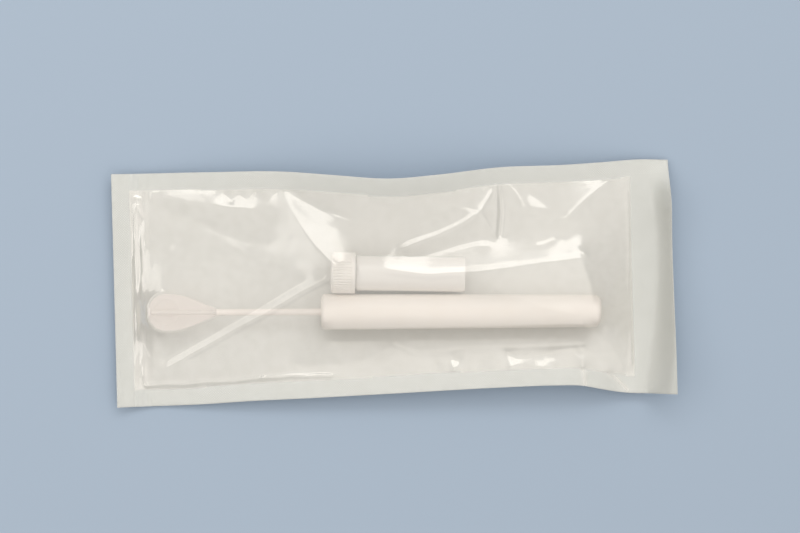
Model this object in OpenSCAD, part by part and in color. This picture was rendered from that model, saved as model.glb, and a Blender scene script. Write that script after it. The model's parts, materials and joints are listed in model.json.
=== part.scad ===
// A sealed peel pouch that holds a sampling wand and a screw-capped specimen tube.
// The pouch lies flat: X runs along it, Z is up, and the origin is under its middle.
// The wand and the tube are drawn standing on their own axis, and are then laid down.

/* [Pouch] */
// Width of both webs across the pouch
pouch_w = 103; // [96:0.5:130]
// Thickness of the opaque backing web
backing_t = 0.18; // [0.12:0.01:0.3]
// Thickness of the clear film web
film_t = 0.1; // [0.08:0.01:0.2]
// Width of the heat seal on all four sides
seal_w = 7.5; // [5:0.5:10]
// Length of the unsealed peel tab past the right-hand seal
tab_l = 9.3; // [5:0.1:16]
// Free length between the left-hand seal and the tip of the leaf
tip_room = 7.4; // [6:0.1:20]
// Free length between the handle and the right-hand seal
end_room = 14.7; // [12:0.1:30]
// How square the film's cross-section is: 2 is a parabola
film_fullness = 2.6; // [2:0.1:4]
// Room above the contents, which the cap needs while it comes off
film_room = 1.8; // [1:0.1:5]

/* [Wand handle] */
// Length of the handle with its plug's flange
handle_l = 122; // [105:1:160]
// Outside diameter at the mouth
handle_mouth_d = 15.7; // [13:0.1:20]
// Outside diameter at the closed end
handle_end_d = 14.3; // [12:0.1:19]
// Wall of the handle
handle_wall = 1.2; // [0.8:0.1:1.8]
// Outside rounding of the closed end
handle_round = 3; // [1.5:0.1:4]

/* [Wand plug] */
// Thickness of the flange that closes the mouth
flange_t = 2.2; // [1.8:0.1:4]
// Rounding of the flange's outer edge
flange_round = 1.7; // [0.5:0.1:1.7]
// Length of the spigot that is pressed into the handle
spigot_l = 10; // [6:0.5:16]
// Wall of the hollow spigot, and of the boss that grips the stem
plug_wall = 1.3; // [0.8:0.1:1.6]

/* [Wand stem] */
// Diameter of the stem
stem_d = 3; // [2.4:0.1:4]
// Length of stem between the plug and the leaf
stem_free_l = 45.8; // [30:0.1:70]
// Length of stem held inside the plug
stem_held_l = 9; // [6:0.5:12]

/* [Wand leaf] */
// Width of the leaf, which is also twice the radius of its nose
leaf_w = 16.2; // [13:0.1:20]
// Thickness of the blade
leaf_t = 0.7; // [0.5:0.05:1]
// Radius of each shoulder, where the nose runs into the flank
shoulder_r = 30.8; // [22:0.1:40]
// Angle of each flank to the stem
flank_angle = 23; // [18:1:28]
// Diameter of the rib along the middle of the leaf
rib_d = 2.2; // [1.6:0.1:2.4]
// Diameter of the round dish in the nose
dish_d = 11.6; // [9:0.1:12.5]
// Depth of the dish
dish_depth = 1; // [0.5:0.1:1.5]
// Diameter of the pin that holds the leaf in the end of the stem
pin_d = 1.6; // [1.2:0.1:1.8]
// Length of that pin
pin_l = 6; // [4:0.5:10]

/* [Specimen tube] */
// Outside diameter of the tube
tube_d = 15.3; // [12:0.1:19]
// Height of the tube from the foot of its skirt to its rim
tube_l = 56.1; // [45:0.1:75]
// Wall of the tube
tube_wall = 1.1; // [0.8:0.05:1.4]
// Height of the skirt, in which the conical bottom hangs
skirt_h = 9.8; // [7:0.1:14]
// Height of the flat outer tip of the cone above the foot
tip_h = 1.2; // [0.5:0.1:3]
// Outside diameter of the flat tip
tip_d = 5; // [4:0.1:7]
// Step in radius from the body to the threaded neck
neck_step = 0.7; // [0.5:0.05:1]
// Length of the neck
neck_l = 9.2; // [7:0.1:12]

/* [Screw cap] */
// Height of the cap
cap_h = 10.6; // [8.5:0.1:14]
// Wall of the cap out to the crests of its grip ribs
cap_wall = 1.4; // [1.2:0.05:2]
// Thickness of the cap's top
cap_top_t = 1.2; // [0.8:0.1:2]
// Rounding of the cap's top edge
cap_round = 1.1; // [0.4:0.1:1.2]
// Number of grip ribs
grip_count = 44; // [24:2:60]
// Depth of the grooves between the ribs
grip_depth = 0.35; // [0.2:0.05:0.5]
// Height of the plain collar at the open end
collar_h = 1.6; // [1:0.1:2.5]
// Radial room for the thread between neck and cap
thread_room = 0.65; // [0.5:0.05:0.8]
// Rise of the cap for one turn
thread_pitch = 3; // [2:0.5:4]
// Turns from tight to free
thread_turns = 2; // [1:0.5:2.5]
// Thickness of the sealing disc
seal_disc_t = 0.9; // [0.6:0.1:1.5]

/* [How the contents lie] */
// Place of the wand's flange across the pouch
wand_y = -11.7; // [-14:0.1:-8]
// Turn of the wand in the pouch, in degrees
wand_turn = -1.3; // [-1.8:0.1:0.5]
// Distance of the cap's top behind the wand's flange
cap_setback = 4.5; // [2:0.1:12]
// Gap between the handle and the foot of the tube
foot_gap = 0.9; // [0.4:0.1:2]

/* [Hidden] */
$fn = 96;

// Gap between pieces that are pressed or laid together, and between pieces that move past each other
fit_gap = 0.05;
run_gap = 0.3;
// Points on each quarter of a drawn arc
arc_steps = 12;

// Leaf and wand
nose_r = leaf_w / 2;
flank_half_w = nose_r - shoulder_r * (1 - cos(flank_angle));
shoulder_l = shoulder_r * sin(flank_angle);
flank_l = (flank_half_w - stem_d / 2) / tan(flank_angle);
leaf_l = nose_r + shoulder_l + flank_l;
dish_r = dish_d / 2;
dish_sphere_r = (dish_r * dish_r + dish_depth * dish_depth) / (2 * dish_depth);
shell_l = handle_l - flange_t;
wand_l = handle_l + stem_free_l + leaf_l;
mouth_r = handle_mouth_d / 2;
end_r = handle_end_d / 2;
spigot_r = mouth_r - handle_wall - fit_gap;
boss_r = stem_d / 2 + plug_wall;
// The handle is a cone on its side, so its axis falls towards the closed end.
wand_fall = atan((mouth_r - end_r) / shell_l);

// Tube and cap, drawn standing on the foot
body_r = tube_d / 2;
neck_r = body_r - neck_step;
shoulder_z = tube_l - neck_l;
cap_bore_r = neck_r + thread_room;
cap_r = cap_bore_r + cap_wall;
seal_disc_z = tube_l + fit_gap;
ceiling_z = seal_disc_z + seal_disc_t + fit_gap;
cap_top_z = ceiling_z + cap_top_t;
cap_foot_z = cap_top_z - cap_h;
cap_travel = thread_pitch * thread_turns;
// Depth of the ribs' crests below the collar, and of their feet below the wall
grip_sink = 0.08;

// Pouch
pouch_l = 2 * seal_w + tab_l + tip_room + wand_l + end_room;
inner_left = -pouch_l / 2 + seal_w;
inner_right = pouch_l / 2 - tab_l - seal_w;
inner_half_w = pouch_w / 2 - seal_w;

// The flange's face, where the wand is hung from, and the handle's radius along X
flange_x = inner_left + tip_room + (leaf_l + stem_free_l) * cos(wand_turn);
wand_z = backing_t + fit_gap + mouth_r * cos(wand_fall);
function handle_r(along) = mouth_r - (mouth_r - end_r) * max(along - flange_t, 0) / shell_l;
function wand_axis_y(x) = wand_y + (x - flange_x) * tan(wand_turn);

// The tube lies on the rim of its cap and the edge of its foot, so its axis climbs towards the cap.
lie_reach = sqrt(pow(cap_foot_z, 2) + pow(cap_r - body_r, 2));
tube_climb = atan((cap_r - body_r) / cap_foot_z) + asin((run_gap - fit_gap) / lie_reach);
foot_z = backing_t + fit_gap + body_r * cos(tube_climb);
// Beside the handle, the cap keeps the running gap and the foot keeps its own.
cap_top_x = flange_x + cap_setback;
tube_reach = cap_top_z * cos(tube_climb);
cap_aside = side_by_side(cap_r + handle_r(cap_setback) + run_gap,
                         foot_z + cap_foot_z * sin(tube_climb) - wand_z);
foot_aside = side_by_side(body_r + handle_r(cap_setback + tube_reach) + foot_gap, foot_z - wand_z);
tube_turn = wand_turn - asin((cap_aside - foot_aside) / tube_reach);
foot_x = cap_top_x + tube_reach * cos(tube_turn);
foot_y = wand_axis_y(foot_x) + foot_aside / cos(wand_turn);
function side_by_side(apart, rise) = sqrt(max(apart * apart - rise * rise, 0));

// Film: its crown is high enough for what lies under each stretch of it.
film_columns = 40;
film_rows = 20;
leaf_top_z = wand_z + (leaf_l + stem_free_l) * sin(wand_fall) + rib_d / 2;
cap_peak_z = foot_z + (cap_top_z + cap_travel) * sin(tube_climb) + cap_r;
handle_top_z = backing_t + fit_gap + handle_mouth_d;
film_crown = [
    [inner_left, 0],
    [inner_left + tip_room * 0.8, crown_over(leaf_top_z, wand_y - leaf_w / 2)],
    [cap_top_x - cap_travel - film_room, crown_over(cap_peak_z, foot_y + cap_r / 2)],
    [foot_x, crown_over(max(cap_peak_z, handle_top_z), foot_y + cap_r / 2)],
    [flange_x + handle_l, crown_over(handle_top_z, wand_axis_y(flange_x + handle_l))],
    [inner_right, 0]
];
function across(y) = max(1 - pow(min(abs(y) / inner_half_w, 1), film_fullness), 0);
function crown_over(z, y) = (z - backing_t + film_room) / across(y);
function inner_x(u) = inner_left + u * (inner_right - inner_left);
function film_x(i) = i == 0 ? -pouch_l / 2 : i == film_columns ? pouch_l / 2
                   : inner_x((i - 1) / (film_columns - 2));
function film_y(j) = j == 0 ? -pouch_w / 2 : j == film_rows ? pouch_w / 2
                   : inner_half_w * (2 * (j - 1) / (film_rows - 2) - 1);
function sealed(i, j) = i <= 1 || i >= film_columns - 1 || j <= 1 || j >= film_rows - 1;
function film_z(i, j) = backing_t + (sealed(i, j) ? 0 : lookup(film_x(i), film_crown) * across(film_y(j)));

// ---- Helpers ----

// Points on an arc of radius r about c, from angle a to angle b.
function arc(c, r, a, b) = [for (k = [0:arc_steps]) let (t = a + (b - a) * k / arc_steps)
                            c + r * [cos(t), sin(t)]];

// A cone or cylinder with a rounded far edge, from z = 0 to z = h.
module rounded_rod(near_r, far_r, h, edge_r) {
    cylinder(r1 = near_r, r2 = far_r, h = h - edge_r);
    cylinder(r = far_r - edge_r, h = h);
    rotate_extrude() intersection() {
        translate([far_r - edge_r, h - edge_r]) circle(edge_r);
        square([far_r, h]);
    }
}

// Lays the standing wand down. Its flange's face is at z = 0, its handle at +Z and its leaf at -Z.
module lay_wand() {
    translate([flange_x, wand_y, wand_z]) rotate([0, 90 + wand_fall, wand_turn]) children();
}

// Lays the standing tube down, with its cap to the left.
module lay_tube() {
    translate([foot_x, foot_y, foot_z]) rotate([0, tube_climb - 90, tube_turn]) children();
}

// ---- Pouch ----

module backing_web() {
    color("#dfddd6")
        translate([-pouch_l / 2, -pouch_w / 2, 0]) cube([pouch_l, pouch_w, backing_t]);
}

// The film is one sheet of even thickness: flat over the seals and the tab, and domed over the contents.
module film_web() {
    columns = film_columns + 1;
    rows = film_rows + 1;
    count = columns * rows;
    under = [for (i = [0:film_columns], j = [0:film_rows]) [film_x(i), film_y(j), film_z(i, j)]];
    upper = [for (p = under) p + [0, 0, film_t]];
    top = [for (i = [0:film_columns - 1], j = [0:film_rows - 1]) let (a = i * rows + j)
           each [[a, a + 1, a + rows + 1], [a, a + rows + 1, a + rows]]];
    edge = concat([for (i = [0:columns - 1]) i * rows],
                  [for (j = [1:rows - 1]) (columns - 1) * rows + j],
                  [for (i = [columns - 2:-1:0]) i * rows + rows - 1],
                  [for (j = [rows - 2:-1:1]) j]);
    sides = [for (k = [0:len(edge) - 1]) let (a = edge[k], b = edge[(k + 1) % len(edge)])
             each [[a, b, b + count], [a, b + count, a + count]]];
    color("#f4f6f5", 0.4)
        polyhedron(concat(under, upper),
                   concat([for (t = top) [t[2], t[1], t[0]]],
                          [for (t = top) t + [count, count, count]],
                          [for (s = sides) [s[2], s[1], s[0]]]));
}

// ---- Wand ----

// A moulded shell with a little draft, open at the mouth and closed at the far end.
module handle() {
    inner_round = max(handle_round - handle_wall, 0.3);
    color("#f1ebe1") lay_wand() translate([0, 0, flange_t]) difference() {
        rounded_rod(mouth_r, end_r, shell_l, handle_round);
        translate([0, 0, -1]) cylinder(r = mouth_r - handle_wall, h = spigot_l + 1);
        rounded_rod(mouth_r - handle_wall, end_r - handle_wall, shell_l - handle_wall, inner_round);
    }
}

// The flange closes the mouth, the spigot is pressed into it, and the boss grips the stem.
module handle_plug() {
    color("#efe9df") lay_wand() difference() {
        union() {
            translate([0, 0, flange_t]) mirror([0, 0, 1])
                rounded_rod(mouth_r, mouth_r, flange_t, flange_round);
            cylinder(r = spigot_r, h = flange_t + spigot_l);
        }
        translate([0, 0, flange_t]) difference() {
            cylinder(r = spigot_r - plug_wall, h = spigot_l + 1);
            cylinder(r = boss_r, h = spigot_l + 1);
        }
        translate([0, 0, -1]) cylinder(r = stem_d / 2 + fit_gap, h = stem_held_l + 1 + fit_gap);
    }
}

// A plain rod with a blind hole in its free end for the leaf's pin.
module stem() {
    color("#ecdcd2") lay_wand() difference() {
        translate([0, 0, -stem_free_l]) cylinder(r = stem_d / 2, h = stem_free_l + stem_held_l);
        translate([0, 0, -stem_free_l - 1])
            cylinder(r = pin_d / 2 + fit_gap, h = pin_l + 1 + fit_gap);
    }
}

// Half of the leaf's outline, from its base on the stem to the end of its nose. The base is at x = 0.
function leaf_half() = concat(
    [[0, stem_d / 2]],
    [for (p = arc([flank_l + shoulder_l, nose_r - shoulder_r], shoulder_r, 90 + flank_angle, 90)) p],
    [for (p = arc([flank_l + shoulder_l, 0], nose_r, 90, 0)) p]);

module leaf_blade() {
    half = leaf_half();
    linear_extrude(leaf_t, center = true)
        polygon(concat(half, [for (k = [len(half) - 2:-1:0]) [half[k][0], -half[k][1]]]));
}

// A spherical ball, moved so that its lowest point is that far below z = 0.
module ball_below(depth) {
    translate([leaf_l - nose_r, 0, dish_sphere_r - depth]) sphere(dish_sphere_r);
}

// The blade carries a dished nose, a rib along its middle and a pin that goes into the stem.
module leaf() {
    seat = stem_d / 2 + leaf_t;
    color("#ead9cf") lay_wand() translate([0, 0, -stem_free_l - fit_gap])
        rotate([0, 90, 0]) mirror([0, 0, 1]) {
            difference() {
                union() {
                    leaf_blade();
                    intersection() {
                        ball_below(dish_depth + leaf_t / 2);
                        translate([leaf_l - nose_r, 0, -dish_depth - leaf_t])
                            cylinder(r = dish_r, h = dish_depth + leaf_t);
                    }
                }
                ball_below(dish_depth - leaf_t / 2);
            }
            rotate([0, 90, 0]) {
                cylinder(r = rib_d / 2, h = leaf_l - seat);
                translate([0, 0, leaf_l - seat]) sphere(rib_d / 2);
                translate([0, 0, -pin_l]) cylinder(r = pin_d / 2, h = pin_l + leaf_t);
            }
        }
}

// ---- Specimen tube ----

// Straight body, stepped neck, and a conical bottom that hangs inside a skirt.
module specimen_tube() {
    inside_r = body_r - tube_wall;
    neck_inside_r = neck_r - tube_wall;
    tip_inside_r = tip_d / 2 - tube_wall / 2;
    color("#e9e7df", 0.6) lay_tube() rotate_extrude() polygon([
        [0, tip_h + tube_wall],
        [tip_inside_r, tip_h + tube_wall],
        [inside_r, skirt_h + tube_wall],
        [inside_r, shoulder_z - neck_step],
        [neck_inside_r, shoulder_z],
        [neck_inside_r, tube_l],
        [neck_r, tube_l],
        [neck_r, shoulder_z],
        [body_r, shoulder_z],
        [body_r, 0],
        [inside_r, 0],
        [inside_r, skirt_h - tube_wall],
        [tip_d / 2, tip_h],
        [0, tip_h]
    ]);
}

// One turn of grip ribs: each rib is a flat-topped tooth, a little lower than the collar,
// and its foot is sunk into the cap's wall.
function grip_outline() = [for (k = [0:grip_count - 1], t = [[-0.3, 0], [-0.12, 1], [0.12, 1], [0.3, 0]])
                           let (a = 360 * (k + t[0]) / grip_count)
                           (cap_r - grip_sink - grip_depth * (1 - t[1])) * [cos(a), sin(a)]];

module tube_cap() {
    color("#eee0d7") lay_tube() difference() {
        translate([0, 0, cap_foot_z]) {
            rounded_rod(cap_r - grip_depth, cap_r - grip_depth, cap_h, cap_round);
            cylinder(r = cap_r, h = collar_h);
            linear_extrude(cap_h - cap_round) polygon(grip_outline());
        }
        translate([0, 0, cap_foot_z - 1]) cylinder(r = cap_bore_r, h = ceiling_z - cap_foot_z + 1);
    }
}

// The disc lies loose under the cap's top and is squeezed onto the rim.
module seal_disc() {
    color("#cfd3d2") lay_tube() translate([0, 0, seal_disc_z])
        cylinder(r = cap_bore_r - fit_gap, h = seal_disc_t);
}

backing_web();
film_web();
handle();
handle_plug();
stem();
leaf();
specimen_tube();
tube_cap();
seal_disc();
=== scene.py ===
# %% [markdown]
# # A sealed swab pack
# The real thing is a flat peel pouch. A white paper web and a clear film are sealed together all round,
# and between them lie a sampling wand (handle, plug, stem and leaf-shaped tip) and a small screw-capped
# tube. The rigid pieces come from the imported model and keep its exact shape, so here they only get their
# finishes. The two webs are made anew, because what makes a pouch look like a pouch is how thin sheets
# crease, lift at their edges and catch the light.

import json
import math

import bmesh
import bpy
import numpy as np
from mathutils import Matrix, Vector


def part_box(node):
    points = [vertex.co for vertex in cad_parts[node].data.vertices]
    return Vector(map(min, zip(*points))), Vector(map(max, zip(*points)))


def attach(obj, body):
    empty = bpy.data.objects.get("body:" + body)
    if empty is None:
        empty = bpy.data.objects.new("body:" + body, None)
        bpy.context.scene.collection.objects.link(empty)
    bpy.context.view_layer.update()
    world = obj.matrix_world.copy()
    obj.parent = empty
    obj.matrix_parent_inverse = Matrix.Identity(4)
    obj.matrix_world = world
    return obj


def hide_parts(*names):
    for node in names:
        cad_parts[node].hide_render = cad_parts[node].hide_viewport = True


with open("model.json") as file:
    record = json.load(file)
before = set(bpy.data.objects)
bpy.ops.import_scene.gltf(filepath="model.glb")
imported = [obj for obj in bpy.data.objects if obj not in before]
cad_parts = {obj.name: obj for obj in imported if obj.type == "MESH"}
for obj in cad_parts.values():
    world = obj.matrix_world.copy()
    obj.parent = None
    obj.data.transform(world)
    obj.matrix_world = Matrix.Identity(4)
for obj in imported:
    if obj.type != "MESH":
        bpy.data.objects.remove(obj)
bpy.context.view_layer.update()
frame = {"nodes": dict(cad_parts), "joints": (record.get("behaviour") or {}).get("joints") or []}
nodes = frame["nodes"]
MM = 0.001

# %% [markdown]
# ## Sizes
# The ends of the pouch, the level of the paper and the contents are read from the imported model. Our own
# values are those of the webs: how wide the seals are, how thick the paper is and how much room the film
# leaves above what it lies on. The lines of the edges and of the folds come later, and they suit a pouch
# of this size only.

# %% Sizes of the pouch
web_low, web_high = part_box("film_web")
LEFT, RIGHT = web_low.x, web_high.x
BACK, FRONT = web_low.y, web_high.y
PAPER_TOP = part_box("backing_web")[1].z
PAPER_THICK = 0.20 * MM
SEAL_W = 7.5 * MM
PEEL_TAB = 16.8 * MM
FILM_GAP = 0.10 * MM
FILM_CLEAR = 0.35 * MM
INNER_LEFT, INNER_RIGHT = LEFT + SEAL_W, RIGHT - PEEL_TAB
print("pouch", round((RIGHT - LEFT) / MM, 1), "x", round((FRONT - BACK) / MM, 1), "mm")

# %% [markdown]
# ## Camera and light
# The camera looks straight down, with the pouch turned a little in its view. Clear film shows itself only
# by what it mirrors, so the key lamp is one large soft box. It stands high beyond the far edge: facets
# that lean its way flash white and the others stay clear. A panel on the left does the same for facets
# that lean there, and a weak one on the near side lightens the handle. A soft sky, made further down,
# fills the shadows.

# %% Camera
PICTURE_TURN = math.radians(1.5)
VIEW_POINT = (3.3 * MM, 7.2 * MM)
CAMERA_HEIGHT = 1.0
PICTURE_WIDTH = 0.352
SENSOR_WIDTH = 36

camera = bpy.data.objects.new("camera", bpy.data.cameras.new("camera"))
camera.data.sensor_width = SENSOR_WIDTH
camera.data.lens = SENSOR_WIDTH * CAMERA_HEIGHT / PICTURE_WIDTH
camera.location = (*VIEW_POINT, CAMERA_HEIGHT)
camera.rotation_euler = (0, 0, -PICTURE_TURN)
bpy.context.scene.collection.objects.link(camera)
bpy.context.scene.camera = camera
print("camera", CAMERA_HEIGHT, "m up, sees", PICTURE_WIDTH, "m of the table")

# %% Lamps: name, side angle and height angle in degrees, size in metres, radiance
LAMP_DISTANCE = 1.2
LAMPS = [
    ("key_lamp", 8, 48, (1.25, 0.42), 1.85),
    ("near_panel", 178, 46, (1.6, 0.6), 0.18),
    ("left_panel", -74, 42, (1.3, 0.5), 1.0),
]


def soft_box(name, away, side_angle, height_angle, size, radiance):
    """A rectangular lamp that faces the origin. The side angle is counted from the far side of the pouch
    towards its peel end, the height angle from the table up. Its power is its radiance times pi times its
    area."""
    lamp = bpy.data.objects.new(name, bpy.data.lights.new(name, "AREA"))
    lamp.data.shape = "RECTANGLE"
    lamp.data.size, lamp.data.size_y = size
    lamp.data.energy = radiance * math.pi * size[0] * size[1]
    level = away * math.cos(height_angle)
    height = away * math.sin(height_angle)
    lamp.location = (level * math.sin(side_angle), level * math.cos(side_angle), height)
    lamp.rotation_euler = (height_angle - math.pi / 2, 0, -side_angle)
    bpy.context.scene.collection.objects.link(lamp)


for name, side_angle, height_angle, size, radiance in LAMPS:
    soft_box(name, LAMP_DISTANCE, math.radians(side_angle), math.radians(height_angle), size, radiance)
print(len(LAMPS), "lamps")
bpy.context.scene.view_settings.view_transform = "Standard"

# %% [markdown]
# ## Writing shaders as sums
# A finish is a formula: so much gloss here, a little less there. `Value` wraps a node's output so that
# such a formula can be written as plain arithmetic, and each operator adds the Math node that works it
# out. `Finish` is a material under construction, and its `add` method makes every other kind of node.

# %% Value
class Value:
    """A number worked out by nodes. Arithmetic on it adds Math nodes to its material."""

    def __init__(self, finish, socket):
        self.finish = finish
        self.socket = socket

    def maths(self, operation, *others):
        sockets = dict(enumerate((self, *others)))
        return self.finish.add("ShaderNodeMath", {"operation": operation}, sockets)

    def __add__(self, other):
        return self.maths("ADD", other)

    def __mul__(self, other):
        return self.maths("MULTIPLY", other)

    def __sub__(self, other):
        return self.maths("SUBTRACT", other)

    def __rsub__(self, other):
        return self.finish.add("ShaderNodeMath", {"operation": "SUBTRACT"}, {0: other, 1: self})

    def __truediv__(self, other):
        return self.maths("DIVIDE", other)

    def __pow__(self, other):
        return self.maths("POWER", other)

    __radd__ = __add__
    __rmul__ = __mul__

    def sine(self):
        return self.maths("SINE")

    def above(self, low, high):
        """0 below low, 1 above high, and a smooth step between them."""
        return self.finish.add(
            "ShaderNodeMapRange",
            {"interpolation_type": "SMOOTHSTEP"},
            {"Value": self, "From Min": low, "From Max": high},
        )

# %% Finish
class Finish:
    """A material, or a world, whose nodes are made one by one."""

    def __init__(self, name, kind=bpy.data.materials):
        self.material = kind.new(name)
        self.material.use_nodes = True
        self.tree = self.material.node_tree
        self.tree.nodes.clear()

    def add(self, kind, settings=None, sockets=None, out=0):
        """Adds a node, sets its settings and then its sockets, and gives back its output."""
        node = self.tree.nodes.new(kind)
        for name, setting in (settings or {}).items():
            if name == "stops":
                self.set_stops(node.color_ramp.elements, setting)
            else:
                setattr(node, name, setting)
        for name, value in (sockets or {}).items():
            if isinstance(value, Value):
                self.tree.links.new(value.socket, node.inputs[name])
            else:
                node.inputs[name].default_value = value
        return Value(self, node.outputs[out]) if len(node.outputs) else node

    @staticmethod
    def set_stops(elements, stops):
        """Gives a colour ramp its stops: (position, colour) pairs."""
        while len(elements) < len(stops):
            elements.new(1.0)
        for element, (position, colour) in zip(elements, stops):
            element.position = position
            element.color = (*colour, 1)

    def place(self):
        """Where a point lies on the object, in metres."""
        return self.add("ShaderNodeTexCoord", out="Object")

    def attribute(self, name):
        """A number that the mesh carries at each of its points."""
        return self.add("ShaderNodeAttribute", {"attribute_name": name}, out="Fac")

    def parts(self, place):
        """The x, y and z of a place, as three numbers."""
        node = self.add("ShaderNodeSeparateXYZ", None, {"Vector": place}).socket.node
        return [Value(self, socket) for socket in node.outputs]

    def stretched(self, place, scale):
        """The place, with each axis multiplied by its own number."""
        return self.add("ShaderNodeVectorMath", {"operation": "MULTIPLY"}, {0: place, 1: scale})

    def grain(self, place, scale, detail=2.0):
        """Soft noise from 0 to 1, with that many lumps for each unit of place."""
        return self.add(
            "ShaderNodeTexNoise",
            None,
            {"Vector": place, "Scale": scale, "Detail": detail},
        )

    def looking_along(self):
        """0 where one looks straight at the surface, and 1 where one looks along it."""
        return self.add("ShaderNodeLayerWeight", None, {"Blend": 0.5}, out="Facing")

    def blend(self, share, first, second):
        """The first colour where share is 0, and the second where it is 1."""
        first, second = (c if isinstance(c, Value) else (*c, 1) for c in (first, second))
        return self.add(
            "ShaderNodeMix",
            {"data_type": "RGBA"},
            {"Factor": share, "A": first, "B": second},
            "Result",
        )

    def bump(self, height, distance, strength=1.0):
        """A normal that makes the surface look raised by height times distance."""
        return self.add(
            "ShaderNodeBump",
            None,
            {"Height": height, "Distance": distance, "Strength": strength},
        )

    def principled(self, **sockets):
        """The Principled shader, joined to the output. Socket names are written with _ for a space."""
        named = {name.replace("_", " "): value for name, value in sockets.items()}
        shader = self.add("ShaderNodeBsdfPrincipled", None, named)
        self.add("ShaderNodeOutputMaterial", None, {"Surface": shader})
        return self.material

# %% Putting a finish on a CAD node
def wear(node, material):
    """Puts a material in every slot of a CAD node."""
    for slot in node.material_slots:
        slot.material = material

# %% [markdown]
# ## The sky of the studio
# An even grey world would make every gentle slope of the film look alike. So the world is a soft sky,
# bright almost overhead, a little on the side of the peel end, and dim towards the table. It shades every
# fold a little. It is brighter by the square of the cosine of the angle to its brightest point.

# %% Sky
SKY_AXIS = (0.20, 0.05, 0.98)
SKY_LOW, SKY_RISE = 0.27, 1.0

sky = Finish("studio", bpy.data.worlds)
direction = sky.add("ShaderNodeTexCoord", out="Generated")
cosine = sky.add("ShaderNodeVectorMath", {"operation": "DOT_PRODUCT"}, {0: direction, 1: SKY_AXIS}, "Value")
level = SKY_LOW + SKY_RISE * cosine.maths("MAXIMUM", 0.0) ** 2
light = sky.add("ShaderNodeBackground", None, {"Color": (1.0, 0.99, 0.97, 1), "Strength": level})
sky.add("ShaderNodeOutputWorld", None, {"Surface": light})
bpy.context.scene.world = sky.material
print("sky from", SKY_LOW, "to", SKY_LOW + SKY_RISE)

# %% [markdown]
# ## The floor
# The floor is one plain pale square, far wider than the view. It catches the shadow of the lifted edges,
# which is what shows that the pouch doesn't lie flat.

# %% Floor
FLOOR_SIZE = 6.0
FLOOR_COLOUR = (0.42, 0.50, 0.60, 1)

floor_mesh = bpy.data.meshes.new("floor")
edge = FLOOR_SIZE / 2
floor_corners = [(-edge, -edge, 0), (edge, -edge, 0), (edge, edge, 0), (-edge, edge, 0)]
floor_mesh.from_pydata(floor_corners, [], [(0, 1, 2, 3)])
floor = bpy.data.objects.new("floor", floor_mesh)
bpy.context.scene.collection.objects.link(floor)
floor_finish = Finish("floor")
floor_material = floor_finish.principled(Base_Color=FLOOR_COLOUR, Roughness=0.9, Specular_IOR_Level=0.1)
floor_mesh.materials.append(floor_material)
print("floor", FLOOR_SIZE, "m wide")

# %% [markdown]
# ## The outline of the pouch
# The pouch started as a rectangle, but the contents pull its long edges in and lift them off the table.
# So each long edge is described twice: where it runs in plan, and how high it stands. A handful of points
# is enough for each, with a smooth curve through them. One number for each edge then says how much of its
# height it keeps, so a whole edge can be lowered at once.

# %% Smooth curve through points
def smooth_curve(x, points):
    """Values at x of a curve through (position, value) points. Between two points it is the cubic that
    has, at each of them, the slope that the neighbouring points give."""
    px, pv = np.array(points, float).T
    slope = np.gradient(pv, px)
    k = np.clip(np.searchsorted(px, x) - 1, 0, len(px) - 2)
    span = px[k + 1] - px[k]
    t = np.clip((x - px[k]) / span, 0, 1)
    start = pv[k] * (1 + 2 * t) * (1 - t) ** 2 + slope[k] * span * t * (1 - t) ** 2
    end = pv[k + 1] * t**2 * (3 - 2 * t) - slope[k + 1] * span * t**2 * (1 - t)
    return start + end

# %% Edges in plan and in height, mm, and how much of that height they keep
FAR_EDGE = [
    (-122, 50.9), (-80, 50.6), (-46, 49.8), (-25, 47.6), (0, 45.3), (22, 46.6),
    (48, 49.2), (75, 49.6), (92, 50.4), (110, 51.4), (122, 51.0),
]
NEAR_EDGE = [
    (-122, -51.4), (-86, -51.0), (-62, -49.9), (-42, -49.4), (2, -48.0), (46, -46.6),
    (70, -46.3), (81, -46.7), (90, -48.6), (98, -50.2), (122, -51.3),
]
FAR_LIFT = [
    (-122, 1.0), (-100, 4.5), (-80, 7.0), (-60, 9.2), (-46, 11.2), (-35, 14.0), (-25, 16.2), (0, 18.8),
    (22, 17.5), (48, 12.5), (75, 10.0), (92, 7.5), (110, 4.0), (122, 2.0),
]
NEAR_LIFT = [
    (-122, 0.4), (-100, 1.5), (-86, 3.0), (-62, 6.0), (-42, 7.5), (2, 10.0), (46, 12.0),
    (70, 12.5), (81, 12.0), (90, 9.0), (98, 5.5), (110, 3.5), (122, 2.0),
]
FAR_SLACK, NEAR_SLACK = 0.918, 0.905


def plan(columns, rows):
    """A grid over the pouch. u runs along its length and s goes from -1 at the near edge to 1 at the far
    edge. y is the middle of the two edges at u, plus s times half the distance between them."""
    u, s = np.meshgrid(np.linspace(LEFT, RIGHT, columns), np.linspace(-1, 1, rows), indexing="ij")
    far = smooth_curve(u / MM, FAR_EDGE) * MM
    near = smooth_curve(u / MM, NEAR_EDGE) * MM
    y = (far + near) / 2 + s * (far - near) / 2
    return u, s, y, (far - near) / 2

# %% [markdown]
# ## The paper web
# The paper lies flat under the contents and curls up towards its long edges. A power of the distance from
# the flat middle, averaged with a smooth step, gives that curl in one formula. Both ends stand up a
# little too. At the peel end the two webs aren't joined, so that end rises more, all but its far corner,
# with a soft fold where the seal ends.

# %% Height of the paper
# Share of each half of the width that stays flat
FAR_FLAT, NEAR_FLAT = 0.22, 0.33
CURL_POWER = 1.25
LEFT_RISE, LEFT_START = 4.5 * MM, -100 * MM
RIGHT_RISE, RIGHT_START = 4.0 * MM, 96 * MM
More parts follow.
